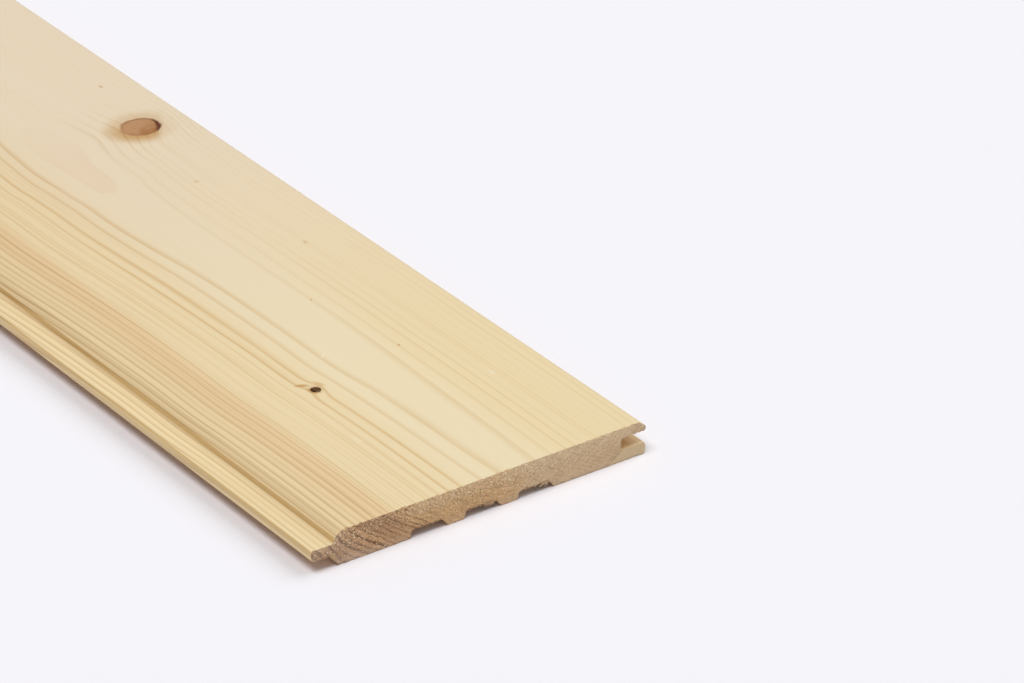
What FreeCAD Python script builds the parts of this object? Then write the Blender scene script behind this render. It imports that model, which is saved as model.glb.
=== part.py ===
import FreeCAD, Part
import os
import Sketcher

# Tongue and groove board for wall and ceiling panelling, one length of planed softwood.
# X runs across the width, with the tongue at -X and the groove at +X.
# Y runs along the grain, and Z runs up from the back of the board to its face.
# The origin is at the middle of the board's back, so the board lies face up.

SIZES = {
    "board_length": 2100,
    "board_thickness": 14,
    # The width that one board covers in a wall, from joint to joint.
    "cover_width": 137,
    "tongue_length": 10,
    "tongue_thickness": 4.4,
    # The joint is set out from the face, so that the faces of two boards come out level.
    "face_to_tongue": 4.5,
    "tongue_tip_radius": 1.1,
    "tongue_root_radius": 1,
    # The play between a tongue and the groove it slides into.
    "groove_play": 0.2,
    "groove_end_gap": 1,
    "groove_corner_radius": 0.5,
    "groove_mouth_radius": 1.1,
    # The two bevels that make the V between two boards.
    "tongue_bevel_width": 3.4,
    "groove_bevel_width": 3,
    "bevel_depth": 2.3,
    "bevel_top_radius": 2.6,
    "bevel_nose_radius": 0.3,
    # The shallow channels that are planed out of the back, the first one measured from the
    # tongue's shoulder. Each wall leans in by its own amount, more on the groove's side.
    "relief_count": 3,
    "relief_start": 32.25,
    "relief_pitch": 23.5,
    "relief_mouth_width": 16.5,
    "relief_tongue_side_lean": 1.1,
    "relief_groove_side_lean": 2.4,
    "relief_depth": 3.5,
    "relief_corner_radius": 0.8,
    # The eased corners of the back.
    "tongue_side_ease_width": 1.6,
    "tongue_side_ease_height": 2,
    "groove_side_ease": 0.6,
}

# Places across the section, worked out from the sizes above.
TIP = "-(Sizes.cover_width + Sizes.tongue_length) / 2"
SHOULDER = "(Sizes.tongue_length - Sizes.cover_width) / 2"
LIPS = "(Sizes.cover_width + Sizes.tongue_length) / 2"
GROOVE_END = LIPS + " - Sizes.tongue_length - Sizes.groove_end_gap"
TONGUE_BEVEL_TOP = SHOULDER + " + Sizes.tongue_bevel_width"
GROOVE_BEVEL_TOP = LIPS + " - Sizes.groove_bevel_width"

# Heights above the back.
FACE = "Sizes.board_thickness"
TONGUE_TOP = FACE + " - Sizes.face_to_tongue"
TONGUE_UNDERSIDE = TONGUE_TOP + " - Sizes.tongue_thickness"
GROOVE_ROOF = TONGUE_TOP + " + Sizes.groove_play"
GROOVE_FLOOR = TONGUE_UNDERSIDE + " - Sizes.groove_play"
BEVEL_BOTTOM = FACE + " - Sizes.bevel_depth"

# The first relief channel, nearest the tongue: the two corners of its mouth and of its roof.
MOUTH_START = SHOULDER + " + Sizes.relief_start"
MOUTH_END = MOUTH_START + " + Sizes.relief_mouth_width"
ROOF_START = MOUTH_START + " + Sizes.relief_tongue_side_lean"
ROOF_END = MOUTH_END + " - Sizes.relief_groove_side_lean"


def make_sheet(doc):
    """The driving sizes, one to a row, with the name beside the number."""
    sheet = doc.addObject("Spreadsheet::Sheet", "Sizes")
    for row, (name, size) in enumerate(SIZES.items(), start=1):
        sheet.set(f"A{row}", name)
        sheet.set(f"B{row}", str(size))
        sheet.setAlias(f"B{row}", name)
    doc.recompute()
    return sheet


def value(body, expression):
    """What an expression on the sheet comes to, as a plain number."""
    return float(body.evalExpression(expression))


def section(body, name, corners):
    """A closed outline in the board's cross section; each corner is an X and a Z expression."""
    plane = next(item for item in body.Origin.OriginFeatures if item.Role == "XZ_Plane")
    sketch = body.newObject("Sketcher::SketchObject", name)
    sketch.AttachmentSupport = [(plane, "")]
    sketch.MapMode = "FlatFace"
    points = [FreeCAD.Vector(value(body, x), value(body, z), 0) for x, z in corners]
    for start, end in zip(points, points[1:] + points[:1]):
        sketch.addGeometry(Part.LineSegment(start, end))
    for line in range(len(points)):
        following = (line + 1) % len(points)
        sketch.addConstraint(Sketcher.Constraint("Coincident", line, 2, following, 1))
    for line, (x, z) in enumerate(corners):
        for direction, place in (("DistanceX", x), ("DistanceY", z)):
            distance = Sketcher.Constraint(direction, -1, 1, line, 1, value(body, place))
            index = sketch.addConstraint(distance)
            sketch.setExpression(f"Constraints[{index}]", place)
    return sketch


def add_along_board(body, name, corners):
    """Solid wood of the given section, as long as the board."""
    pad = body.newObject("PartDesign::Pad", name)
    pad.Profile = section(body, name + "Section", corners)
    pad.SideType = "Symmetric"
    pad.setExpression("Length", "Sizes.board_length")
    body.Document.recompute()
    return pad


def cut_along_board(body, name, corners):
    """A cut of the given section, from one end of the board to the other."""
    before = body.Shape.Volume
    pocket = body.newObject("PartDesign::Pocket", name)
    pocket.Profile = section(body, name + "Section", corners)
    pocket.SideType = "Symmetric"
    pocket.Type = "ThroughAll"
    body.Document.recompute()
    if not body.Shape.Volume < before:
        raise RuntimeError(f"{name} takes nothing off the board")
    return pocket


def round_along_board(body, name, radius, corners):
    """Round the long edges that pass through the given corners of the section."""
    places = [(value(body, x), value(body, z)) for x, z in corners]
    edges = []
    for number, edge in enumerate(body.Shape.Edges, start=1):
        box = edge.BoundBox
        runs_along = box.YLength > value(body, "Sizes.board_length") / 2
        middle = box.Center
        if runs_along and any(abs(middle.x - x) < 0.01 and abs(middle.z - z) < 0.01 for x, z in places):
            edges.append(f"Edge{number}")
    if len(edges) != len(places):
        raise RuntimeError(f"{name} found {len(edges)} edges of {len(places)}")
    last_feature = body.Tip
    fillet = body.newObject("PartDesign::Fillet", name)
    fillet.Base = (last_feature, edges)
    fillet.setExpression("Radius", radius)
    body.Document.recompute()
    return fillet


def make_board(doc):
    """One board: planed blank, tongue, groove, V bevels, back reliefs and eased corners."""
    body = doc.addObject("PartDesign::Body", "board")
    body.Label = "board"

    add_along_board(body, "Blank", [
        (SHOULDER, "0"),
        (LIPS, "0"),
        (LIPS, FACE),
        (SHOULDER, FACE),
    ])
    add_along_board(body, "Tongue", [
        (TIP, TONGUE_UNDERSIDE),
        (SHOULDER, TONGUE_UNDERSIDE),
        (SHOULDER, TONGUE_TOP),
        (TIP, TONGUE_TOP),
    ])
    cut_along_board(body, "Groove", [
        (GROOVE_END, GROOVE_FLOOR),
        (LIPS, GROOVE_FLOOR),
        (LIPS, GROOVE_ROOF),
        (GROOVE_END, GROOVE_ROOF),
    ])

    # The bevels meet the joint faces at one height, so two boards make an even V.
    cut_along_board(body, "TongueBevel", [
        (SHOULDER, BEVEL_BOTTOM),
        (TONGUE_BEVEL_TOP, FACE),
        (SHOULDER, FACE),
    ])
    cut_along_board(body, "GrooveBevel", [
        (LIPS, BEVEL_BOTTOM),
        (LIPS, FACE),
        (GROOVE_BEVEL_TOP, FACE),
    ])

    # The back corners are eased, more under the tongue than under the groove's lower lip.
    cut_along_board(body, "TongueSideEase", [
        (SHOULDER, "0"),
        (SHOULDER + " + Sizes.tongue_side_ease_width", "0"),
        (SHOULDER, "Sizes.tongue_side_ease_height"),
    ])
    cut_along_board(body, "GrooveSideEase", [
        (LIPS + " - Sizes.groove_side_ease", "0"),
        (LIPS, "0"),
        (LIPS, "Sizes.groove_side_ease"),
    ])

    # One relief channel with leaning walls, repeated across the back.
    relief = cut_along_board(body, "Relief", [
        (MOUTH_START, "0"),
        (MOUTH_END, "0"),
        (ROOF_END, "Sizes.relief_depth"),
        (ROOF_START, "Sizes.relief_depth"),
    ])
    one_channel = body.Shape.Volume
    reliefs = body.newObject("PartDesign::LinearPattern", "Reliefs")
    reliefs.Originals = [relief]
    reliefs.Direction = (relief.Profile[0], ["H_Axis"])
    reliefs.Mode = "Spacing"
    reliefs.setExpression("Offset", "Sizes.relief_pitch")
    reliefs.setExpression("Occurrences", "Sizes.relief_count")
    body.Tip = reliefs
    doc.recompute()
    if not body.Shape.Volume < one_channel:
        raise RuntimeError("the relief channel is not repeated")

    round_along_board(body, "TongueTip", "Sizes.tongue_tip_radius", [
        (TIP, TONGUE_UNDERSIDE),
        (TIP, TONGUE_TOP),
    ])
    round_along_board(body, "TongueRoot", "Sizes.tongue_root_radius", [
        (SHOULDER, TONGUE_UNDERSIDE),
        (SHOULDER, TONGUE_TOP),
    ])
    round_along_board(body, "GrooveCorners", "Sizes.groove_corner_radius", [
        (GROOVE_END, GROOVE_FLOOR),
        (GROOVE_END, GROOVE_ROOF),
    ])
    round_along_board(body, "GrooveMouth", "Sizes.groove_mouth_radius", [
        (LIPS, GROOVE_FLOOR),
        (LIPS, GROOVE_ROOF),
    ])
    round_along_board(body, "BevelTops", "Sizes.bevel_top_radius", [
        (TONGUE_BEVEL_TOP, FACE),
        (GROOVE_BEVEL_TOP, FACE),
    ])
    round_along_board(body, "BevelNoses", "Sizes.bevel_nose_radius", [
        (SHOULDER, BEVEL_BOTTOM),
        (LIPS, BEVEL_BOTTOM),
    ])
    round_along_board(body, "ReliefCorners", "Sizes.relief_corner_radius", [
        (f"{corner} + {number} * Sizes.relief_pitch", "Sizes.relief_depth")
        for number in range(SIZES["relief_count"])
        for corner in (ROOF_START, ROOF_END)
    ])
    return body


def check(doc, body):
    """Stop if any feature failed, or if the board isn't one sound solid."""
    for item in doc.Objects:
        if "Invalid" in item.State or "Error" in item.State:
            raise RuntimeError(f"{item.Name} failed: {item.State}")
    shape = body.Shape
    if shape.isNull() or not shape.isValid() or len(shape.Solids) != 1:
        raise RuntimeError("the board isn't one sound solid")


doc = FreeCAD.newDocument("tongue_and_groove_board")
make_sheet(doc)
board = make_board(doc)
check(doc, board)

os.makedirs("parts", exist_ok=True)
board.Shape.exportStep(f"parts/{board.Label}.step")
box = board.Shape.BoundBox
print(f"{board.Label}: {box.XLength:.2f} x {box.YLength:.2f} x {box.ZLength:.2f} mm,",
      f"volume {board.Shape.Volume:.0f} mm3, from X {box.XMin:.2f} to {box.XMax:.2f}")
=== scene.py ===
# %% [markdown]
# # A tongue and groove board
#
# This lesson dresses one length of planed spruce panelling board. The CAD model already has the
# machined section: tongue, groove, the two soft bevels and the shallow channels in the back.
# What is left for Blender is everything that makes it wood: growth rings that run through the
# whole thickness, knots, sawn ends with torn fibres, and the light on them.
#
# All positions are in metres in the CAD's frame: X across the board with the tongue at -X,
# Y along the grain, Z up from the back to the face.

# %% Load the CAD frame
import math
import random

import bmesh
import bpy
from mathutils import Matrix, Vector, noise


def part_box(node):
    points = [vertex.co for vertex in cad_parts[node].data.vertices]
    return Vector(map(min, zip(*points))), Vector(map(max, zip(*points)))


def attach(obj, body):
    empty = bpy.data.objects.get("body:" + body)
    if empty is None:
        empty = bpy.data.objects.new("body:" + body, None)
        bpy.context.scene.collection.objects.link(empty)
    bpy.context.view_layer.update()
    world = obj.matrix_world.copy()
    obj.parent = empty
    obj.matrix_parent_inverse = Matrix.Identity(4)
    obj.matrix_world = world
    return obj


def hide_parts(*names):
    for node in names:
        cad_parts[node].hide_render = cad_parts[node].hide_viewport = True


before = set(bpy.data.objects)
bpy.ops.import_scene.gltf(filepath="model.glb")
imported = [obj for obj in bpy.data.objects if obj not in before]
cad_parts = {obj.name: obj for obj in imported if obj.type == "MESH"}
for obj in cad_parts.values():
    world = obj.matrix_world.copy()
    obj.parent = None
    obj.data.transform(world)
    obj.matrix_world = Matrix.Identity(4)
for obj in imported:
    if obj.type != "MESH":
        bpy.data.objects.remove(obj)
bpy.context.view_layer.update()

low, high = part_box("board")
near_end = low[1]
far_end = high[1]
face_height = high[2]
MM = 0.001
print("board from", [round(v / MM, 1) for v in low], "to", [round(v / MM, 1) for v in high], "mm")

# %% [markdown]
# ## The camera
#
# The board was photographed from about two metres away with a long lens, so its long edges
# hardly run together. The camera stands to the left of the near end and looks down at 29
# degrees. A direction is easier to read than three angles, so the turn is worked out from it.

# %% Camera
LENS = 186.7
CAMERA_PLACE = (-0.9464, -2.3894, 0.9781)
LOOKING = Vector((0.50961, 0.71120, -0.48424))

camera_data = bpy.data.cameras.new("camera")
camera_data.sensor_fit = "HORIZONTAL"
camera_data.sensor_width = 36
camera_data.lens = LENS
camera = bpy.data.objects.new("camera", camera_data)
bpy.context.scene.collection.objects.link(camera)
camera.location = CAMERA_PLACE
camera.rotation_euler = LOOKING.to_track_quat("-Z", "Y").to_euler()
bpy.context.scene.camera = camera
looks_down = math.degrees(math.asin(-LOOKING.z / LOOKING.length))
print("the camera looks down", round(looks_down, 1), "degrees")

# %% [markdown]
# ## Floor and light
#
# A product table is a sheet of white card under a light tent. The floor here is one very large
# plane, so that it also fills the view when the camera stands low. The light has three parts: the
# world is an even dome, one softbox hangs high up on the left, and a weaker one stands lower on
# the right. What the low one can't reach is the soft shade beside the tongue. Their levels add up
# to one on a level surface, so a colour comes out as written.

# %% Floor and light
def colour(red, green, blue):
    """A colour given as on a screen, 0 to 255, turned into Blender's linear values."""
    def linear(value):
        value = value / 255
        return value / 12.92 if value <= 0.04045 else ((value + 0.055) / 1.055) ** 2.4
    return (linear(red), linear(green), linear(blue), 1)


CARD_WHITE = colour(246, 245, 250)
DOME_LEVEL = 0.27
# Each softbox: its share of the light, the way its light travels, and its width in degrees.
SOFTBOXES = [
    ("high softbox", 0.45, (0.35, 0.06, -1.0), 30),
    ("low softbox", 0.28, (-0.84, 0.08, -1.0), 50),
]
FLOOR_HALF_WIDTH = 60

floor_mesh = bpy.data.meshes.new("floor")
bm = bmesh.new()
bmesh.ops.create_grid(bm, x_segments=1, y_segments=1, size=FLOOR_HALF_WIDTH)
bm.to_mesh(floor_mesh)
bm.free()
floor = bpy.data.objects.new("floor", floor_mesh)
bpy.context.scene.collection.objects.link(floor)

card = bpy.data.materials.new("white card")
card.use_nodes = True
card_shader = card.node_tree.nodes["Principled BSDF"]
card_shader.inputs["Base Color"].default_value = CARD_WHITE
card_shader.inputs["Roughness"].default_value = 0.9
card_shader.inputs["Specular IOR Level"].default_value = 0
floor.data.materials.append(card)

world = bpy.data.worlds.new("light tent")
bpy.context.scene.world = world
world.use_nodes = True
dome = world.node_tree.nodes["Background"]
dome.inputs["Color"].default_value = (1, 1, 1, 1)
dome.inputs["Strength"].default_value = DOME_LEVEL

for name, level, travels, width in SOFTBOXES:
    light_data = bpy.data.lights.new(name, "SUN")
    light_data.energy = level * math.pi * Vector(travels).length
    light_data.angle = math.radians(width)
    light = bpy.data.objects.new(name, light_data)
    bpy.context.scene.collection.objects.link(light)
    light.rotation_euler = Vector(travels).to_track_quat("-Z", "Y").to_euler()

bpy.context.scene.view_settings.view_transform = "Standard"
print("light on the level:", round(DOME_LEVEL + sum(box[1] for box in SOFTBOXES), 3))

# %% [markdown]
# ## How the tree grew
#
# The board was sawn beside the heart of the log. Seen on the end, the growth rings are bowls
# round a pith that lies 42 mm above the face, so the rings come up steeply at the tongue and lie
# flat under the middle of the board. Along the board the pith rises and dips, and where it dips
# a ring breaks through the face as a long pink island, as it does here 270 mm from the end.
#
# A texture that is only painted on the face would not meet itself at the end grain. So the
# rings are written once, as the radius of each ring and the path of the pith, and both the
# material and the relief on the sawn ends read them.

# %% The growth rings
# How far from the pith each ring's dark late wood ends, in mm, and how dark it is, from 0 to 1.
RINGS = [
    (14.0, 0.35), (17.5, 0.50), (21.0, 0.40), (24.5, 0.60), (28.0, 0.45), (31.2, 0.65),
    (34.0, 0.40), (36.6, 0.55), (40.3, 0.16), (43.1, 0.50), (45.3, 0.38), (49.1, 0.60),
    (52.0, 0.52), (54.4, 0.25), (57.2, 0.35), (58.2, 0.45), (59.8, 0.20), (63.0, 0.30),
    (65.5, 0.25), (67.9, 0.80), (70.4, 0.50), (72.4, 0.45), (75.4, 0.60), (77.7, 0.65),
    (80.2, 0.40), (82.3, 0.80), (85.2, 0.85), (87.6, 0.60), (90.0, 0.70), (92.3, 0.50),
    (94.9, 0.75), (97.2, 0.60), (99.6, 0.70), (102.0, 0.60), (104.4, 0.60),
]

# The pith's path: distance from the near end, X across, and height above the face, in mm.
PITH_PATH = [
    (0, 15.4, 42.1), (73, 15.2, 41.7), (100, 14.3, 41.3), (134, 14.4, 41.2), (190, 12.9, 41.0),
    (224, 11.1, 40.7), (247, 10.3, 40.45), (262, 10.4, 40.32), (267, 10.6, 40.15), (269, 10.8, 39.98),
    (273, 10.8, 39.86), (280, 10.8, 39.75), (291, 10.3, 39.68), (302, 10.9, 39.42), (313, 11.8, 39.3),
    (325, 12.0, 39.55), (333, 12.0, 39.95), (337, 12.0, 40.25), (352, 12.2, 40.8), (420, 12.5, 41.2),
    (560, 12.5, 41.0), (700, 11.0, 38.5), (860, 11.0, 34.0), (1100, 14.5, 33.0), (1350, 16.5, 36.0),
    (1600, 12.5, 31.0), (1850, 9.5, 27.5), (2100, 10.5, 24.0),
]

# The rings aren't quite round: on the tongue's side they lean over, by this much for each mm down.
RING_LEAN = [(-75, 0.05), (-60, 0.1), (-44, 0.5), (-26, 0.5), (-12, 0), (75, 0)]


def between(steps, place, column=1):
    """The value at a place, on straight lines between the steps of a table."""
    for left, right in zip(steps, steps[1:]):
        if place <= right[0]:
            share = (place - left[0]) / (right[0] - left[0])
            return left[column] + share * (right[column] - left[column])
    return steps[-1][column]


print(len(RINGS), "rings; the pith is", between(PITH_PATH, 0, 2), "mm above the near end's face")

# %% [markdown]
# ## The planed board
#
# The section is already right in the CAD, so the board starts as a copy of that mesh. The copy
# comes as loose triangles. Merging the doubles and dissolving the flat edges turns it back into
# clean long strips and two end faces, which are easy to cut further.

# %% Copy and clean the CAD mesh
SAME_POINT = 0.001 * MM
ON_THE_PLANE = 0.0001 * MM
ALMOST_FLAT = math.radians(0.5)

board = bmesh.new()
board.from_mesh(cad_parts["board"].data)
bmesh.ops.remove_doubles(board, verts=board.verts, dist=SAME_POINT)
bmesh.ops.dissolve_limit(board, angle_limit=ALMOST_FLAT, verts=board.verts, edges=board.edges)
print("clean copy:", len(board.verts), "vertices,", len(board.faces), "faces")


def once(items):
    """A list of the items without doubles, in the order in which they come."""
    return list(dict.fromkeys(items))


def cut_flat(bm, faces, point, direction):
    """Cut some faces of a mesh with a plane, and leave every piece in place."""
    edges = once(edge for face in faces for edge in face.edges)
    verts = once(vert for face in faces for vert in face.verts)
    bmesh.ops.bisect_plane(bm, geom=[*faces, *edges, *verts], dist=ON_THE_PLANE,
                           plane_co=point, plane_no=direction)


def faces_looking(bm, direction, least=0.99):
    """The faces whose normal is nearly the given direction."""
    direction = Vector(direction)
    return [face for face in bm.faces if face.normal.dot(direction) > least]


# %% [markdown]
# ## Sawn ends
#
# A crosscut saw leaves an end that is flat but not smooth: the hard late wood is cut clean, the
# soft early wood between is torn a tenth of a millimetre deeper, and chips break out along the
# arrises. A bump map would show that only in the light. Here each end gets a fine grid of real
# faces, cut with planes, and every vertex is pushed in along the grain, deeper where the wood is
# soft and deepest where a chip has gone from the edge.

# %% Grid the two ends
GRID = 0.5 * MM
EDGE_BAND = 2 * MM

for end in (near_end, far_end):
    inwards = 1 if end < 0 else -1
    cut_flat(board, board.faces[:], (0, end + inwards * EDGE_BAND, 0), (0, 1, 0))
for outwards in (-1, 1):
    for step in range(1, round((high[0] - low[0]) / GRID)):
        place = (low[0] + step * GRID, 0, 0)
        cut_flat(board, faces_looking(board, (0, outwards, 0)), place, (1, 0, 0))
    for step in range(1, round((high[2] - low[2]) / GRID)):
        place = (0, 0, low[2] + step * GRID)
        cut_flat(board, faces_looking(board, (0, outwards, 0)), place, (0, 0, 1))
    end_faces = faces_looking(board, (0, outwards, 0))
    area = sum(face.calc_area() for face in end_faces) / MM ** 2
    print(len(end_faces), "faces on one end,", round(area, 1), "mm2")


# %% Push the end faces in
def ring_at(x, y, z):
    """The ring a point lies in, counted from the pith, and how far through that ring it is."""
    along = (y - near_end) / MM
    below_face = (z - face_height) / MM
    across = x / MM + below_face * between(RING_LEAN, x / MM) - between(PITH_PATH, along, 1)
    radius = math.hypot(across, below_face - between(PITH_PATH, along, 2))
    for number, (inner, outer) in enumerate(zip(RINGS, RINGS[1:]), start=1):
        if radius < outer[0]:
            return number, max(0, (radius - inner[0]) / (outer[0] - inner[0]))
    return len(RINGS) - 1, 1


LATE_WOOD_FROM = 0.55
LATE_WOOD_HOLDS = 0.7
TORN_DEPTH = 0.18 * MM
FIBRE_SIZE = 0.7 * MM
CHIP_DEPTH = 1.1 * MM
CHIP_SIZE = 1.6 * MM
CHIP_FROM = 0.05
AT_THE_END = 0.01 * MM

pushed = 0
for vert in board.verts:
    if min(vert.co.y - near_end, far_end - vert.co.y) > AT_THE_END:
        continue
    number, through = ring_at(*vert.co)
    hard = RINGS[number][1] * max(0, (through - LATE_WOOD_FROM) / (1 - LATE_WOOD_FROM))
    torn = 0.5 + 0.5 * noise.noise(vert.co / FIBRE_SIZE)
    depth = TORN_DEPTH * (1 - LATE_WOOD_HOLDS * hard) * torn
    on_an_arris = any(abs(face.normal.y) < 0.5 for face in vert.link_faces)
    if on_an_arris:
        depth += CHIP_DEPTH * max(0, noise.noise(vert.co / CHIP_SIZE) - CHIP_FROM)
    vert.co.y += depth if vert.co.y < 0 else -depth
    pushed += 1
print(pushed, "vertices pushed in")

# %% [markdown]
# ## Knots
#
# A branch grows outwards from the pith, so a knot runs through the board on a slant and shows
# on the face and again on the back. The small one here is a dead twig with a dark ring of bark
# that has shrunk back, and the large one has come loose along its right side. Both leave a real
# hollow in the planed face, so the face gets a fine patch of quads around each.

# %% Where the knots are
# Distance from the near end, X across, half width and half length on the face, all in mm,
# and how dead it is: 1 for a dead knot with a bark ring, 0 for a live one that has grown into
# the wood.
KNOTS = [
    (89.2, -11.7, 1.95, 2.0, 1.0),
    (310.0, 50.5, 8.8, 7.7, 0.3),
    (548.0, -31.0, 3.0, 3.2, 1.0),
    (742.0, 31.0, 9.5, 8.5, 0.2),
    (771.0, -38.0, 6.0, 6.5, 0.6),
    (1064.0, 56.0, 2.4, 2.6, 1.0),
    (1217.0, -22.0, 8.2, 9.0, 0.2),
    (1489.0, 44.0, 5.4, 5.2, 0.7),
    (1712.0, -44.0, 10.0, 9.0, 0.3),
    (1765.0, 37.0, 3.2, 3.0, 1.0),
    (1985.0, 12.0, 4.6, 5.6, 0.4),
]

BARK_GAP = 0.35 * MM
# The fine patch round a knot, in the knot's own size, and where its gap lies in it.
PATCH = 1.5
GAP_AT = 0.95
GAP_WIDTH = 0.16
SMALL_KNOT = 4
FINE_QUAD = 0.35 * MM
COARSE_QUAD = 0.6 * MM


def knot_face(bm, x, y):
    """The face of the planed side that a point lies on."""
    middle = Vector((x, y, face_height))
    found = [face for face in faces_looking(bm, (0, 0, 1))
             if face.calc_center_median().z > face_height - MM]
    return min(found, key=lambda face: (face.calc_center_median() - middle).length)


def span_of(face):
    """The lowest and highest X and Y of a face."""
    xs = [vert.co.x for vert in face.verts]
    ys = [vert.co.y for vert in face.verts]
    return min(xs), max(xs), min(ys), max(ys)


for knot_along, knot_across, half_x, half_y, dead in KNOTS:
    x, y = knot_across * MM, near_end + knot_along * MM
    reach_x, reach_y = PATCH * half_x * MM, PATCH * half_y * MM
    planes = [((0, y - reach_y, 0), (0, 1, 0)), ((0, y + reach_y, 0), (0, 1, 0)),
              ((x - reach_x, 0, 0), (1, 0, 0)), ((x + reach_x, 0, 0), (1, 0, 0))]
    for point, direction in planes:
        spans = [(face, span_of(face)) for face in faces_looking(board, (0, 0, 1))]
        face = next(face for face, (left, right, back, front) in spans
                    if left < x < right and back < y < front)
        cut_flat(board, [face], point, direction)
    patch = knot_face(board, x, y)
    cuts = round(2 * reach_x / (FINE_QUAD if half_x < SMALL_KNOT else COARSE_QUAD))
    made = bmesh.ops.subdivide_edges(board, edges=patch.edges[:], cuts=cuts, use_grid_fill=True)
    sunk = 0
    for vert in once(item for item in made["geom_inner"] if isinstance(item, bmesh.types.BMVert)):
        off = math.hypot((vert.co.x - x) / (half_x * MM), (vert.co.y - y) / (half_y * MM))
        rim = math.exp(-((off - GAP_AT) / GAP_WIDTH) ** 2)
        # 0 from the knot's left rim to its middle, rising to 1 at its right rim.
        right_side = 0.5 + 0.5 * math.tanh(4 * (vert.co.x - x) / (half_x * MM) - 2)
        if off < PATCH:
            vert.co.z -= BARK_GAP * rim * (dead + (1 - dead) * right_side)
            sunk += 1
    print("knot at", knot_along, "mm:", cuts, "cuts,", sunk, "vertices")

# %% Make the board object
SHARP_FROM = math.radians(32)

board_mesh = bpy.data.meshes.new("planed_board")
board.normal_update()
board.to_mesh(board_mesh)
board.free()
planed_board = bpy.data.objects.new("planed_board", board_mesh)
bpy.context.scene.collection.objects.link(planed_board)
board_mesh.shade_smooth()
board_mesh.set_sharp_from_angle(angle=SHARP_FROM)
weighted = planed_board.modifiers.new("even shading on the flats", "WEIGHTED_NORMAL")
weighted.keep_sharp = True
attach(planed_board, "root")
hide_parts("board")
print("planed board:", len(board_mesh.polygons), "faces")

# %% [markdown]
# ## Torn fibres
#
# Where the saw leaves the wood at the back, the last fibres bend instead of breaking. They hang
# as a fringe from the roof of each channel and from the tongue, and in two corners a whole tuft
# has been pulled out and has curled. One fibre is a five sided disc that bmesh spins round an
# axis, which gives the curl in one step; its last ring is then shrunk almost to a point.

# %% Hang the torn fibres
FIBRE_STEPS = 4
FIBRE_TIP = 0.25
# Heights above the back, in mm: the channels' roofs and the tongue's underside.
ROOF = 3.5
TONGUE_UNDERSIDE = 5.1
# Each fringe: X from and to, and the height that it hangs from, in mm.
FRINGES = [
    (-30.3, -17.4, ROOF), (-6.8, 6.1, ROOF), (16.7, 29.6, ROOF), (-72.0, -64.6, TONGUE_UNDERSIDE),
]
# The least and the most, in mm.
FRINGE_LENGTHS = (0.3, 1.2)
FIBRE_THICKNESS = (0.16, 0.36)
# How far a root lies behind the sawn end, and how deep it sits in the wood, in mm.
FROM_THE_END = 0.24
IN_THE_WOOD = 0.08
# Each tuft: X from and to, the longest fibre, all in mm, and the number of fibres.
TUFTS = [(2.4, 6.6, 3.0, 44), (27.4, 31.0, 2.8, 30)]
chance = random.Random(5)


def add_fibre(bm, root, heading, towards, length, thickness, curl):
    """A fibre from its root along a heading, curling by an angle towards a side."""
    heading = Vector(heading).normalized()
    axis = heading.cross(Vector(towards)).normalized()
    side = axis.cross(heading)
    turned = heading.to_track_quat("Z", "Y").to_matrix().to_4x4()
    disc = bmesh.ops.create_circle(bm, cap_ends=True, segments=5, radius=thickness / 2,
                                   matrix=Matrix.Translation(root) @ turned)
    verts = disc["verts"]
    edges = once(edge for vert in verts for edge in vert.link_edges)
    faces = once(face for vert in verts for face in vert.link_faces)
    centre = Vector(root) + side * (length / curl)
    spun = bmesh.ops.spin(bm, geom=[*verts, *edges, *faces], cent=centre, axis=axis, angle=curl,
                          steps=FIBRE_STEPS, use_merge=False)
    tip = [item for item in spun["geom_last"] if isinstance(item, bmesh.types.BMVert)]
    middle = sum((vert.co for vert in tip), Vector()) / len(tip)
    bmesh.ops.scale(bm, vec=(FIBRE_TIP,) * 3, space=Matrix.Translation(-middle), verts=tip)


fibres_bm = bmesh.new()
for end, inwards in ((near_end, 1), (far_end, -1)):
    for start, stop, height in FRINGES:
        place = start
        while place < stop:
            y = end + inwards * FROM_THE_END * MM
            root = Vector((place * MM, y, (height + IN_THE_WOOD) * MM))
            heading = (chance.uniform(-0.6, 0.6), inwards * chance.uniform(0, 0.4), -1)
            towards = (chance.choice((-1, 1)), 0, 0.1)
            length = chance.uniform(*FRINGE_LENGTHS) * MM
            thickness = chance.uniform(*FIBRE_THICKNESS) * MM
            add_fibre(fibres_bm, root, heading, towards, length, thickness, chance.uniform(0.3, 1.2))
            place += chance.uniform(0.15, 0.6)
for start, stop, longest, number in TUFTS:
    for _ in range(number):
        x = chance.uniform(start, stop) * MM
        y = near_end + chance.uniform(FROM_THE_END, 1.0) * MM
        root = Vector((x, y, (ROOF - chance.uniform(0.0, 0.5)) * MM))
        heading = (chance.uniform(-1.0, 0.5), chance.uniform(0.0, 0.3), -1)
        towards = (chance.choice((-1, -1, 1)), 0, 0.2)
        length = chance.uniform(0.5, 1) * longest * MM
        thickness = chance.uniform(*FIBRE_THICKNESS) * MM
        add_fibre(fibres_bm, root, heading, towards, length, thickness, chance.uniform(1.0, 3.0))
bmesh.ops.recalc_face_normals(fibres_bm, faces=fibres_bm.faces)
fibre_mesh = bpy.data.meshes.new("torn_fibres")
fibres_bm.to_mesh(fibre_mesh)
fibres_bm.free()
torn_fibres = bpy.data.objects.new("torn_fibres", fibre_mesh)
bpy.context.scene.collection.objects.link(torn_fibres)
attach(torn_fibres, "root")
lowest = min(vert.co.z for vert in fibre_mesh.vertices) / MM
behind = (min(vert.co.y for vert in fibre_mesh.vertices) - near_end) / MM
print("torn fibres:", len(fibre_mesh.polygons), "faces, down to", round(lowest, 2), "mm above the floor")
print("the foremost fibre is", round(behind, 2), "mm behind the sawn end")

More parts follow.
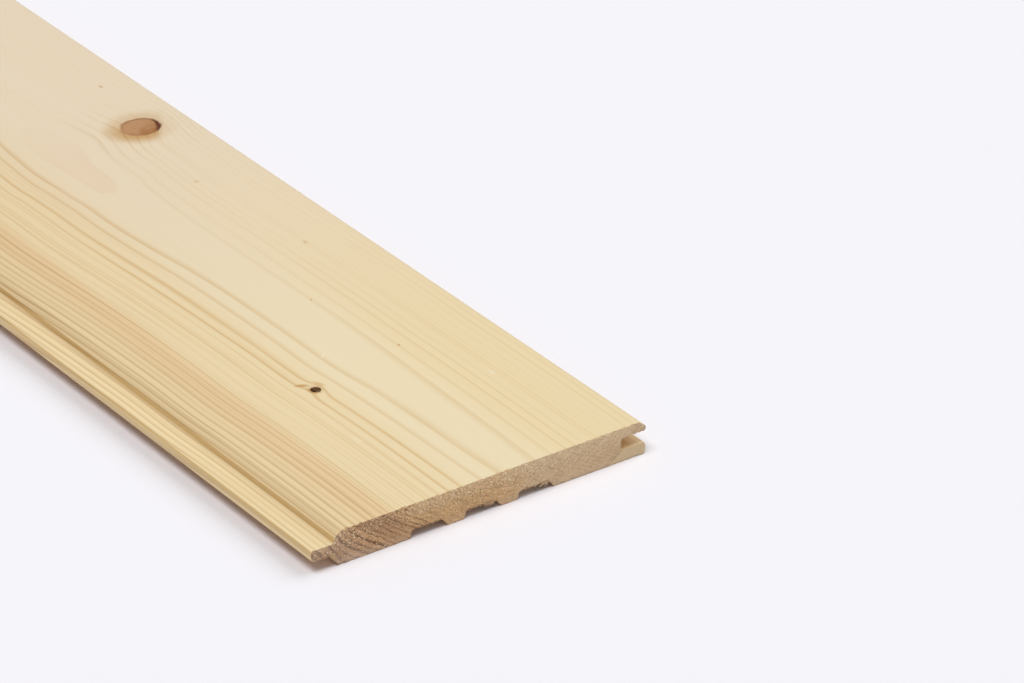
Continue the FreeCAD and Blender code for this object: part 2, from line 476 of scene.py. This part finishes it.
# %% [markdown]
# ## Writing a material as a formula
#
# Wood like this is a formula in three dimensions, and a formula drawn as hundreds of boxes and
# wires is hard to read. The small class below wraps one value of the node tree. Adding or
# multiplying two wrapped values puts a Math node in the tree, so the material can be written
# down like arithmetic and is still made only of ordinary nodes.

# %% Values that write their own nodes
class Value:
    """One number in a node tree. Arithmetic on it adds the Math nodes."""

    def __init__(self, socket):
        self.socket = socket
        self.tree = socket.id_data

    def calc(self, operation, *others):
        sum_node = self.tree.nodes.new("ShaderNodeMath")
        sum_node.operation = operation
        for place, item in enumerate((self, *others)):
            plug(self.tree, item, sum_node.inputs[place])
        return Value(sum_node.outputs[0])

    def __add__(self, other):
        return self.calc("ADD", other)

    def __sub__(self, other):
        return self.calc("SUBTRACT", other)

    def __mul__(self, other):
        return self.calc("MULTIPLY", other)

    def __truediv__(self, other):
        return self.calc("DIVIDE", other)

    def ramp(self, low_end, high_end, low_value=0, high_value=1):
        """A soft step: low_value before low_end, high_value after high_end."""
        step = self.tree.nodes.new("ShaderNodeMapRange")
        step.interpolation_type = "SMOOTHSTEP"
        for name, item in (("Value", self), ("From Min", low_end), ("From Max", high_end),
                           ("To Min", low_value), ("To Max", high_value)):
            plug(self.tree, item, step.inputs[name])
        return Value(step.outputs["Result"])

    def curve(self, points, handles="AUTO"):
        """Read the value off a drawn curve whose points lie between 0 and 1."""
        drawn = self.tree.nodes.new("ShaderNodeFloatCurve")
        line = drawn.mapping.curves[0]
        while len(line.points) < len(points):
            line.points.new(0.5, 0.5)
        for point, place in zip(line.points, points):
            point.location = place
            point.handle_type = handles
        drawn.mapping.update()
        plug(self.tree, self, drawn.inputs["Value"])
        return Value(drawn.outputs["Value"])


# %% Helpers for the nodes used most
def plug(tree, item, socket):
    """Join a value to a socket, or write a plain number or colour into it."""
    if isinstance(item, Value):
        tree.links.new(item.socket, socket)
    else:
        socket.default_value = item


def place_at(tree, x, y, z):
    """A position made of three values."""
    join = tree.nodes.new("ShaderNodeCombineXYZ")
    for item, socket in zip((x, y, z), join.inputs):
        plug(tree, item, socket)
    return Value(join.outputs[0])


def cloud(tree, position, detail=2, roughness=0.5):
    """Smooth noise round 0, from about -0.5 to 0.5, at a position."""
    noise_node = tree.nodes.new("ShaderNodeTexNoise")
    noise_node.inputs["Scale"].default_value = 1
    noise_node.inputs["Detail"].default_value = detail
    noise_node.inputs["Roughness"].default_value = roughness
    plug(tree, position, noise_node.inputs["Vector"])
    return Value(noise_node.outputs["Fac"]) - 0.5


def blend(tree, share, first, second, how="MIX"):
    """Mix two colours by a share from 0 to 1."""
    mix = tree.nodes.new("ShaderNodeMix")
    mix.data_type = "RGBA"
    mix.blend_type = how
    plug(tree, share, mix.inputs["Factor"])
    plug(tree, first, mix.inputs["A"])
    plug(tree, second, mix.inputs["B"])
    return Value(mix.outputs["Result"])


# %% The one material
spruce = bpy.data.materials.new("spruce")
spruce.use_nodes = True
tree = spruce.node_tree
shader = tree.nodes["Principled BSDF"]
print("the new material has", len(tree.nodes), "nodes")

# %% [markdown]
# ## Where in the tree a point lies
#
# Object coordinates come in metres. They are turned into the maker's measures: millimetres
# across the board, along it from the near end, and up from the face. Then the two curves of the
# pith's path give how far each point is from the heart of the tree.

# %% Place on the board and distance from the pith
object_place = tree.nodes.new("ShaderNodeTexCoord").outputs["Object"]
apart = tree.nodes.new("ShaderNodeSeparateXYZ")
tree.links.new(object_place, apart.inputs[0])
across = Value(apart.outputs["X"]) / MM
along = (Value(apart.outputs["Y"]) - near_end) / MM
up = (Value(apart.outputs["Z"]) - face_height) / MM

LENGTH = (far_end - near_end) / MM
NEAR_LENGTH = 400
JOIN_LENGTH = 30
THICKNESS = face_height / MM
ACROSS_RANGE = 50
UP_RANGE = 60


def along_the_board(column, full_value):
    """Read one column of the pith's path. A drawn curve has only 256 steps, so the near 400 mm,
    which are seen from close by, have a curve of their own."""
    parts = []
    for length in (NEAR_LENGTH, LENGTH):
        points = [(row[0] / length, row[column] / full_value) for row in PITH_PATH
                  if row[0] <= length * 1.06]
        parts.append((along / length).curve(points) * full_value)
    near_part, whole = parts
    return near_part + (whole - near_part) * along.ramp(NEAR_LENGTH - JOIN_LENGTH, NEAR_LENGTH)


pith_across = along_the_board(1, ACROSS_RANGE)
pith_up = along_the_board(2, UP_RANGE)
lean_start = RING_LEAN[0][0]
lean_range = RING_LEAN[-1][0] - lean_start
lean_points = [((place - lean_start) / lean_range, lean) for place, lean in RING_LEAN]
lean_over = ((across - lean_start) / lean_range).curve(lean_points, "VECTOR")
from_pith_x = across + up * lean_over - pith_across
from_pith_z = up - pith_up
radius = (from_pith_x * from_pith_x + from_pith_z * from_pith_z).calc("SQRT")

# Real rings are a little out of round, by about a millimetre, and the stem leans to and fro as
# it grows. Right of the middle the rings come closer together.
SLOW_WANDER = 1.6
QUICK_WANDER = 0.5
CLOSER_RIGHT = 2.4
slow_wander = cloud(tree, place_at(tree, across / 38, along / 210, up / 38), detail=1)
quick_wander = cloud(tree, place_at(tree, across / 9, along / 70, up / 9), detail=1)
radius = radius + slow_wander * SLOW_WANDER + quick_wander * QUICK_WANDER
radius = radius + across.ramp(30, 45) * CLOSER_RIGHT
print("distance from the pith:", len(tree.nodes), "nodes so far")

# %% [markdown]
# ## Knots as leaning cylinders
#
# A knot is the foot of a branch, so its own middle line points away from the pith. One node
# group stands for any knot: it measures how far a point is from that leaning line, in units of
# the knot's own size, so 1 is its rim, and how far right or ahead of it. It also gives how much
# the rings swell round the branch, which is what makes the grain flow past a knot.

# %% One group for all knots
CROOKED = 0.22
BARK_AT = 0.85
BARK_WIDTH = 0.26

knot = bpy.data.node_groups.new("knot", "ShaderNodeTree")
for name in ("Across", "Along", "Up", "Middle across", "Middle along", "Lean", "Half across",
             "Half along", "Dead", "Swell", "Reach"):
    knot.interface.new_socket(name, in_out="INPUT", socket_type="NodeSocketFloat")
for name in ("Off", "Swelling", "Bark", "Heart", "Right", "Far"):
    knot.interface.new_socket(name, in_out="OUTPUT", socket_type="NodeSocketFloat")
taken = knot.nodes.new("NodeGroupInput")
given = knot.nodes.new("NodeGroupOutput")
facts = {socket.name: Value(socket) for socket in taken.outputs if socket.name}
side = facts["Across"] - facts["Middle across"] - facts["Up"] * facts["Lean"]
ahead = facts["Along"] - facts["Middle along"]
crooked = cloud(knot, place_at(knot, side / 5, ahead / 5, facts["Up"] / 12), detail=1)
side_share = side / facts["Half across"]
ahead_share = ahead / facts["Half along"]
off = (side_share * side_share + ahead_share * ahead_share).calc("SQRT") + crooked * CROOKED
far = off / facts["Reach"]
swelling = facts["Swell"] * (far * far * -1).calc("EXPONENT")
bark_ring = (off - BARK_AT) / BARK_WIDTH
how_dead = facts["Dead"].ramp(0.35, 1)
bark = how_dead * (bark_ring * bark_ring * -1).calc("EXPONENT")
heart = how_dead * off.ramp(1.2, 1.5, 1, 0)
inside = off.ramp(1.8, 2.4, 1, 0)
for name, item in (("Off", off), ("Swelling", swelling), ("Bark", bark), ("Heart", heart),
                   ("Right", side_share * inside), ("Far", ahead_share * inside)):
    plug(knot, item, given.inputs[name])

# %% Place the knots
# What a knot adds to the distance from the pith, in mm, and how far that reaches, in the knot's
# own size. Below 0, as at a live branch, the rings bulge out; above 0 they dip in.
LIVE_SWELL, LIVE_REACH = -3.4, 1.9
DEAD_SWELL, DEAD_REACH = 1.5, 2.6

nearest_knot = None
sums = {"Bark": None, "Heart": None, "Right": None, "Far": None}
for knot_along, knot_across, half_x, half_y, dead in KNOTS:
    lean = (between(PITH_PATH, knot_along, 1) - knot_across) / between(PITH_PATH, knot_along, 2)
    one = tree.nodes.new("ShaderNodeGroup")
    one.node_tree = knot
    swell, reach = (LIVE_SWELL, LIVE_REACH) if dead < 0.5 else (DEAD_SWELL, DEAD_REACH)
    for name, item in (("Across", across), ("Along", along), ("Up", up),
                       ("Middle across", knot_across), ("Middle along", knot_along), ("Lean", lean),
                       ("Half across", half_x), ("Half along", half_y), ("Dead", dead),
                       ("Swell", swell), ("Reach", reach)):
        plug(tree, item, one.inputs[name])
    off = Value(one.outputs["Off"])
    nearest_knot = off if nearest_knot is None else nearest_knot.calc("MINIMUM", off)
    for name in sums:
        item = Value(one.outputs[name])
        sums[name] = item if sums[name] is None else sums[name] + item
    radius = radius + Value(one.outputs["Swelling"])
bark_total = sums["Bark"]
dead_heart = sums["Heart"]
right_of_knot = sums["Right"]
far_of_knot = sums["Far"]
print(len(KNOTS), "knots,", len(tree.nodes), "nodes so far")

# %% [markdown]
# ## Growth rings
#
# In spring spruce makes pale, wide cells, and towards autumn darker and denser ones, until it
# stops. So each ring darkens slowly outwards and ends at a sharp line. A curve drawn through the
# ring table counts the rings from the pith. The whole part of that count names the ring, and
# its fraction says how late in the year the wood grew.
#
# From here on the numbers in a ramp on across, along, up or radius are places on this board in
# mm, where a change begins and where it ends. Then come the values before and after it, if they
# aren't 0 and 1.

# %% Count the rings from the pith
RADIUS_RANGE = 110
RING_COUNT = 40
ring_curve = [(0, 0)]
ring_curve += [(r / RADIUS_RANGE, (i + 1) / RING_COUNT) for i, (r, dark) in enumerate(RINGS)]
ring_curve += [(1, (len(RINGS) + 3) / RING_COUNT)]
count = (radius / RADIUS_RANGE).curve(ring_curve, "VECTOR") * RING_COUNT
season = count.calc("FRACT")
ring_name = (count.calc("FLOOR") + 0.5) / RING_COUNT
dark_curve = [((i + 0.5) / RING_COUNT, dark) for i, (r, dark) in enumerate(RINGS)]
ring_dark = ring_name.curve([(0, 0.4)] + dark_curve + [(1, 0.6)], "VECTOR")
print(len(RINGS), "rings,", len(tree.nodes), "nodes so far")

# %% Late wood
# The dark wood of a ring is about as thick in a wide ring as in a narrow one, so its place is
# measured in mm, back from the ring's outer end. That end is a soft edge, softer where the face
# cuts the rings at a flat angle, and sharp round the island.
WIDTH_RANGE = 10
starts = [0] + [r for r, dark in RINGS]
width_curve = [((i + 0.5) / RING_COUNT, (r - starts[i]) / WIDTH_RANGE)
               for i, (r, dark) in enumerate(RINGS)]
ring_width = ring_name.curve([(0, 0.5)] + width_curve + [(1, 0.25)], "VECTOR") * WIDTH_RANGE
before_end = (season * -1 + 1) * ring_width
late_width = across.ramp(-46, -38, 1.8, 1.25) * across.ramp(-14, 4, 1, 0.88)
late_width = late_width + radius.ramp(39.6, 41, 1.0, 0)
soft_edge = across.ramp(-40, -24, 0.34, 0.16) + across.ramp(-6, 6, 0, 0.26) * radius.ramp(40.4, 41.2)
soft_edge = soft_edge * radius.ramp(40.4, 41.2, 0.4, 1)
late_wood = before_end.ramp(0.06, late_width, 1, 0) * before_end.ramp(0, soft_edge) * ring_dark
print("late wood:", len(tree.nodes), "nodes so far")

# %% How clearly the late wood shows on the face
# Right of the middle the rings lie in quiet sapwood and show less, and so do those in a strip on
# the left. Round the large knot they show more.
quiet_side = across.ramp(16, 24) * along.ramp(300, 350)
clear_side = across.ramp(12, 28, 1, 0.58) * across.ramp(44, 56, 1, 0.6) * (quiet_side * -0.75 + 1)
clear_side = clear_side * (across.ramp(14, 26) * along.ramp(90, 220, 0.2, -0.45) + 1)
clear_side = clear_side * (across.ramp(-42, -37) * across.ramp(-24, -19, -0.35, 0) + 1)
fading_island = radius.ramp(40.6, 41, along.ramp(292, 326, 1, 0.35), 1)
bent_lines = nearest_knot.ramp(2.2, 4.5, 1.3, 0) * along.ramp(180, 240) + 1
line_patches = cloud(tree, place_at(tree, across / 6, along / 60, up / 6), detail=2)
line_strength = line_patches * 0.8 + 1
late_face = late_wood * clear_side * bent_lines * fading_island * line_strength
print("late wood on the face:", len(tree.nodes), "nodes so far")

# %% [markdown]
# ## The colour of planed spruce
#
# Fresh spruce is creamy white. This board has a resinous strip with a breath of pink where the
# rings are tight, a pale middle, and a straw yellow right side that grows paler along the board.
# Each zone is one colour, blended into the next. Long thin fibres and hairlines show as faint
# streaks over all of them.

# %% Colour along the grain
TONGUE_PALE = colour(245, 224, 179)
RESINOUS = colour(237, 213, 168)
STRAW = colour(240, 220, 178)
PALE = colour(241, 225, 188)
YELLOW = colour(240, 220, 176)
FAR_PALE = colour(235, 218, 190)
LATE_BROWN = colour(217, 203, 182)
LATE_GOLD = colour(222, 194, 142)
ISLAND_PINK = colour(249, 215, 206)
PINK_TINT = colour(253, 248, 244)
FAR_SHADE = colour(250, 247, 246)
STREAK = colour(243, 226, 200)
# Each zone of the face: where it begins to blend in, X across, where it is full, and its colour.
ZONES = [(-41, -35, STRAW), (-14, 2, PALE), (20, 38, YELLOW)]

fibres = cloud(tree, place_at(tree, across * 2.6, along / 45, up * 2.6), detail=3, roughness=0.6)
broad_streaks = cloud(tree, place_at(tree, across / 3, along / 160, up / 3), detail=2)
hairlines = cloud(tree, place_at(tree, radius * 1.3, along / 150, 4.5), detail=1)
zone_edge = across + cloud(tree, place_at(tree, across / 9, along / 120, 2), detail=1) * 5
face_colour = blend(tree, across.ramp(-65.5, -63.5), TONGUE_PALE, RESINOUS)
for start, full, zone_colour in ZONES:
    face_colour = blend(tree, zone_edge.ramp(start, full), face_colour, zone_colour)
far_share = along.ramp(60, 330)
face_colour = blend(tree, far_share * zone_edge.ramp(-24, 18), face_colour, FAR_PALE)
face_colour = blend(tree, far_share * zone_edge.ramp(-10, 14, 1, 0), face_colour, FAR_SHADE, "MULTIPLY")
pink_zone = zone_edge.ramp(-54, -46) * zone_edge.ramp(-42, -37, 1, 0)
face_colour = blend(tree, pink_zone, face_colour, PINK_TINT, "MULTIPLY")
late_tint = blend(tree, across.ramp(-44, -30), LATE_BROWN, LATE_GOLD)
late_tint = blend(tree, radius.ramp(40.5, 40.9, 1, 0), late_tint, ISLAND_PINK)
face_colour = blend(tree, late_face, face_colour, late_tint, "MULTIPLY")
hair_share = hairlines.ramp(0.03, 0.2) * zone_edge.ramp(-18, -4, 0.3, 0)
face_colour = blend(tree, hair_share * 0.8, face_colour, late_tint, "MULTIPLY")
streak_share = (fibres * 0.5 + broad_streaks * 0.6 + 0.25).calc("MAXIMUM", 0)
face_colour = blend(tree, streak_share * 0.35, face_colour, STREAK, "MULTIPLY")
print(len(ZONES) + 1, "colour zones,", len(tree.nodes), "nodes so far")

# %% [markdown]
# ## Knot colours
#
# Inside a knot the branch is seen end on and full of resin, so it is brown, redder on the side
# where it has come loose. A dead knot keeps its black ring of bark. The wood round a knot is
# stained a little yellow, most on the near left.

# %% Knot colours
KNOT_BROWN = colour(188, 144, 104)
KNOT_WARM = colour(166, 116, 72)
KNOT_RIM = colour(150, 106, 76)
LOOSE_EDGE = colour(104, 58, 40)
BARK = colour(62, 38, 26)
DEAD_HEART = colour(98, 68, 36)
HALO = colour(216, 182, 124)

knot_cloud = cloud(tree, place_at(tree, across / 3, along / 3, up / 6), detail=2)
warm_side = (right_of_knot * 0.4 - far_of_knot * 0.8 + knot_cloud * 1.2).ramp(-0.2, 0.8)
knot_colour = blend(tree, warm_side, KNOT_BROWN, KNOT_WARM)
rim = nearest_knot.ramp(0.72, 0.98) * (far_of_knot + right_of_knot + knot_cloud).ramp(-0.6, 0.8, 0.25, 1)
knot_colour = blend(tree, rim * 0.8, knot_colour, KNOT_RIM)
knot_grain = cloud(tree, place_at(tree, (across + along) / 2.2, (across - along) * 1.1, up / 4), detail=2)
knot_colour = blend(tree, knot_grain.ramp(0.02, 0.3) * 0.45, knot_colour, KNOT_RIM)
loose = (right_of_knot - far_of_knot * 0.35).ramp(0.56, 0.86) * nearest_knot.ramp(0.7, 0.86)
knot_colour = blend(tree, loose, knot_colour, LOOSE_EDGE)
knot_colour = blend(tree, dead_heart, knot_colour, DEAD_HEART)
near_left = (right_of_knot * 0.7 + far_of_knot + knot_cloud * 1.5).ramp(-1.5, 0.8, 1, 0.45)
near_right = (right_of_knot - far_of_knot * 0.6).ramp(0.8, 1.4)
halo = nearest_knot.ramp(1.05, 2.15, 0.9, 0) * near_left * (near_right * -0.6 + 1)
face_colour = blend(tree, halo, face_colour, HALO, "MULTIPLY")
face_colour = blend(tree, halo * late_wood * 0.5, face_colour, LATE_GOLD, "MULTIPLY")
face_colour = blend(tree, nearest_knot.ramp(0.92, 1.06, 1, 0), face_colour, knot_colour)
face_colour = blend(tree, bark_total.ramp(0.3, 0.75), face_colour, BARK)
print("knots coloured:", len(tree.nodes), "nodes so far")

# %% [markdown]
# ## Small marks
#
# A real board has been handled. Beside the small knot resin has darkened in two short hooks,
# there are a few specks of bark, and pale scuffs where another board has slid over it. Each mark
# is a long soft spot from one small node group.

# %% Flecks and scuffs
# Distance from the near end, X across, half length and half width in mm, turn in degrees, and
# strength, where a strength below 0 is a pale scuff.
MARKS = [
    (92.0, -8.5, 3.2, 0.8, 159, 0.5), (94.4, -14.7, 2.9, 1.1, 120, 0.9),
    (99.2, 32.3, 0.9, 0.5, 0, 0.8), (147.8, 25.2, 0.8, 0.4, 20, 0.7),
    (188.0, 49.3, 1.6, 0.8, 15, 0.4), (256.0, 42.8, 1.2, 1.4, 0, 0.3), (350.5, 56.8, 1.6, 0.8, 10, 0.55),
    (109.0, 4.8, 2.2, 0.4, 50, -0.7), (49.0, -20.0, 2.6, 0.4, -20, -0.5), (62.0, 48.5, 2.0, 0.9, 0, -0.5),
]
FLECK = colour(200, 152, 90)
SCUFF = colour(246, 234, 208)

# %% One group for all marks
mark = bpy.data.node_groups.new("mark", "ShaderNodeTree")
for name in ("Across", "Along", "Middle across", "Middle along", "Half across", "Half along", "Turn"):
    mark.interface.new_socket(name, in_out="INPUT", socket_type="NodeSocketFloat")
mark.interface.new_socket("Share", in_out="OUTPUT", socket_type="NodeSocketFloat")
taken = mark.nodes.new("NodeGroupInput")
given = mark.nodes.new("NodeGroupOutput")
facts = {socket.name: Value(socket) for socket in taken.outputs if socket.name}
side = facts["Across"] - facts["Middle across"]
ahead = facts["Along"] - facts["Middle along"]
cosine = facts["Turn"].calc("COSINE")
sine = facts["Turn"].calc("SINE")
wide = (side * cosine - ahead * sine) / facts["Half across"]
long = (side * sine + ahead * cosine) / facts["Half along"]
plug(mark, (wide * wide + long * long).calc("SQRT").ramp(0.4, 1.3, 1, 0), given.inputs["Share"])

# %% Put the marks on
for mark_along, mark_across, half_long, half_wide, turn, strength in MARKS:
    one = tree.nodes.new("ShaderNodeGroup")
    one.node_tree = mark
    for name, item in (("Across", across), ("Along", along), ("Middle across", mark_across),
                       ("Middle along", mark_along), ("Half across", half_wide),
                       ("Half along", half_long), ("Turn", math.radians(turn))):
        plug(tree, item, one.inputs[name])
    share = Value(one.outputs["Share"]) * abs(strength) * up.ramp(-1.5, -0.5)
    face_colour = blend(tree, share, face_colour, FLECK if strength > 0 else SCUFF)
print(len(MARKS), "marks,", len(tree.nodes), "nodes so far")

# %% [markdown]
# ## End grain
#
# Across a sawn end the fibres are open tubes that swallow light, so the same wood looks much
# darker there, and torn fibre ends catch the light as pale specks. The saw also leaves patches:
# some groups of rings come out dark and smooth, others light and fuzzy. End grain shows where
# the surface looks along the fibres, so the mix comes from the surface's own direction.

# %% Colour of the sawn ends
END_TIGHT = colour(210, 164, 118)
END_ORANGE = colour(220, 177, 124)
END_GREY = colour(220, 188, 148)
END_DARK = colour(126, 82, 50)
SPECK = colour(246, 224, 184)

end_colour = blend(tree, across.ramp(-40, -30), END_TIGHT, END_ORANGE)
end_colour = blend(tree, across.ramp(4, 26), end_colour, END_GREY)
end_contrast = radius.ramp(59, 65, 0.5, 1.2) * across.ramp(8, 30, 1, 0.15)
end_patches = cloud(tree, place_at(tree, radius / 3.4, across / 22, up / 16), detail=1)
end_rings = late_wood.ramp(0, 0.5) * (end_patches * 1.2 + 0.8)
broad_bands = end_patches.ramp(0.0, 0.25)
end_colour = blend(tree, (end_rings * 0.65 + broad_bands * 0.35) * end_contrast, end_colour, END_DARK)
hair = cloud(tree, place_at(tree, radius * 1.7, across / 5, along / 3), detail=2)
end_colour = blend(tree, hair.ramp(0.0, 0.18) * 0.35 * end_contrast, end_colour, END_DARK)
print("rings on the sawn ends:", len(tree.nodes), "nodes so far")

# %% Scratches, specks and pits of the sawn ends
# The saw's teeth left fine straight scratches, all on one slant.
scratches = cloud(tree, place_at(tree, (across * 0.55 + up) * 1.9, (across - up * 0.55) / 12, 7), detail=2)
end_colour = blend(tree, scratches.ramp(-0.05, 0.22) * across.ramp(-36, -20, 0, 0.3), end_colour, END_DARK)
fuzz = up.ramp(-8, -1.5, 0.65, 1.3) * across.ramp(26, 44, 1, 0.6)
speck_grain = place_at(tree, radius * 1.7, along * 1.5, (up - across) * 0.7)
specks = cloud(tree, speck_grain, detail=2, roughness=0.7)
end_colour = blend(tree, specks.ramp(0.02, 0.15) * fuzz, end_colour, SPECK)
pits = cloud(tree, place_at(tree, across * 1.1 + 40, along * 1.5, up * 1.3), detail=2, roughness=0.7)
end_colour = blend(tree, pits.ramp(0.02, 0.18) * fuzz * 0.7, end_colour, END_DARK)
print("specks and pits:", len(tree.nodes), "nodes so far")

# %% Groups of rings that come out lighter or darker
# One group of rings is darker, the wood beyond it paler, and so are the fibres near the arrises.
DUSTY = colour(226, 208, 190)
dark_group = radius.ramp(69, 73) * radius.ramp(79, 83, 1, 0)
end_colour = blend(tree, dark_group * 0.2, end_colour, END_DARK)
dusty = radius.ramp(84, 91, 0, 0.16) + up.ramp(-12.5, -10.5, 0.14, 0)
end_colour = blend(tree, dusty, end_colour, DUSTY)
end_colour = blend(tree, up.ramp(-6, -2) * across.ramp(-34, -26, 0, 0.2), end_colour, SPECK)

# The lower lip of the groove was cut from a paler streak, with two pale rays beside it.
PALE_STREAK = colour(224, 200, 160)
slant = across - (up + THICKNESS) * 1.4 - 56
beside = slant.ramp(-7, -6.5) * slant.ramp(-1.5, -1, 1, 0)
rays = ((slant + 4.2) * 2.1).calc("COSINE").ramp(0.55, 0.95) * beside
lip = slant.ramp(-0.5, 1.2) * up.ramp(-9.2, -8.6, 1, 0)
end_colour = blend(tree, lip * 0.75 + rays * up.ramp(-9, -7, 0.6, 0), end_colour, PALE_STREAK)
print("sawn ends coloured:", len(tree.nodes), "nodes so far")

# %% Put the face and the ends together
surface = tree.nodes.new("ShaderNodeNewGeometry")
normal_parts = tree.nodes.new("ShaderNodeSeparateXYZ")
tree.links.new(surface.outputs["True Normal"], normal_parts.inputs[0])
end_on = Value(normal_parts.outputs["Y"]).calc("ABSOLUTE").ramp(0.45, 0.75)

# The bevels and the cove cut the grain on a slant and look more golden; the darker tint is also painted
# cove shade.
GOLDEN_AND_COVE_SHADE = colour(238, 222, 186)
facing_up = Value(normal_parts.outputs["Z"])
slanted_and_cove_shade = facing_up.ramp(0.6, 0.9, 1, 0) * facing_up.ramp(0.1, 0.4, 0.5, 1) * up.ramp(-9.5, -6.5)
face_colour = blend(tree, slanted_and_cove_shade, face_colour, GOLDEN_AND_COVE_SHADE, "MULTIPLY")

# Faces that look down, the back and the tongue's underside, get painted shade: browner and darker than the
# face.
UNDERSIDE_SHADE_BROWN = colour(240, 214, 206)
face_colour = blend(tree, facing_up.ramp(-0.4, -0.15, 1, 0), face_colour, UNDERSIDE_SHADE_BROWN, "MULTIPLY")
wood_colour = blend(tree, end_on, face_colour, end_colour)
plug(tree, wood_colour, shader.inputs["Base Color"])
print("colour joined to the shader:", len(tree.nodes), "nodes so far")

# %% [markdown]
# ## Sheen and fine relief
#
# A planed face is smooth but not polished. The planer's knives leave faint ripples across the
# board, and the late wood stands a few thousandths of a millimetre proud of the soft wood. That
# is too fine for faces and goes into bump, with the fibres. The sawn ends, which are rough in
# real faces already, get their finest grain the same way.

# %% Roughness and bump
# Heights in mm.
LATE_WOOD_PROUD = 0.006
RIPPLE_HEIGHT = 0.0015
RIPPLE_LENGTH = 1.9
FIBRE_HEIGHT = 0.02
SPECK_HEIGHT = 0.12
HAIR_HEIGHT = 0.08
FACE_ROUGHNESS = 0.52
END_ROUGHNESS = 0.85
WOOD_SHINE = 0.5
KNOT_SHINE = 0.1

roughness = end_on.ramp(0, 1, FACE_ROUGHNESS, END_ROUGHNESS) + fibres * 0.12
plug(tree, roughness, shader.inputs["Roughness"])
shine = nearest_knot.ramp(0.9, 1.15, KNOT_SHINE, WOOD_SHINE)
plug(tree, shine, shader.inputs["Specular IOR Level"])
ripples = (along * (2 * math.pi / RIPPLE_LENGTH)).calc("SINE") * RIPPLE_HEIGHT
fine_relief = late_face * LATE_WOOD_PROUD + fibres * FIBRE_HEIGHT + ripples
rough_end = specks * SPECK_HEIGHT + hair * HAIR_HEIGHT
bump = tree.nodes.new("ShaderNodeBump")
bump.inputs["Distance"].default_value = MM
bump.inputs["Strength"].default_value = 1
plug(tree, fine_relief + end_on * rough_end, bump.inputs["Height"])
tree.links.new(bump.outputs["Normal"], shader.inputs["Normal"])
for piece in (planed_board, torn_fibres):
    piece.data.materials.append(spruce)
print("spruce material:", len(tree.nodes), "nodes")
